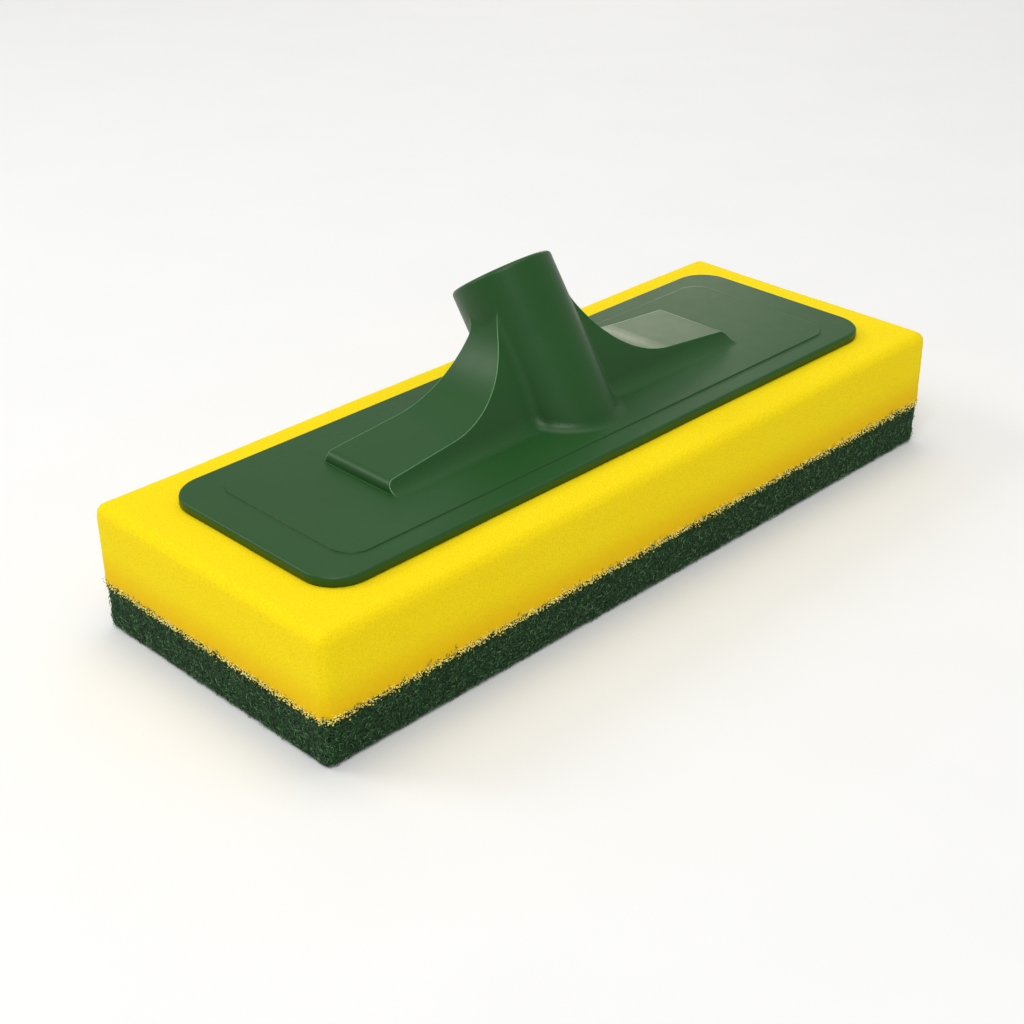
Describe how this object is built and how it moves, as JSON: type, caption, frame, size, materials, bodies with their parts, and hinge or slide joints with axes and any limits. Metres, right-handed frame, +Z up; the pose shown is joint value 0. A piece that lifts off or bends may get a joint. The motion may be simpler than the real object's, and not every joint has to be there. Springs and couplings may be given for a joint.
{
  "type": "grout float",
  "caption": "Pole-mounted rectangular float for grouting and wash-down: foam block with a thick scouring pad, moulded backplate with saddle arms and a leaning pole socket.",
  "frame": {"origin": "centre of the scouring pad's working face, which is the lowest face of the float", "axes": "+X along the block's length, +Y towards the side the pole socket leans to, +Z up from the working face"},
  "size_m": [0.28, 0.106, 0.0944],
  "materials": {
    "green_plastic": "satin moulded plastic, dark green",
    "glue": "cured contact adhesive",
    "yellow_foam": "fine open-cell foam, bright yellow",
    "scouring_fibre": "coarse non-woven fibre, very dark green"
  },
  "bodies": {
    "root": {"backplate": "green_plastic", "plate_glue": "glue", "foam_block": "yellow_foam", "pad_glue": "glue", "scouring_pad": "scouring_fibre"}
  },
  "joints": []
}
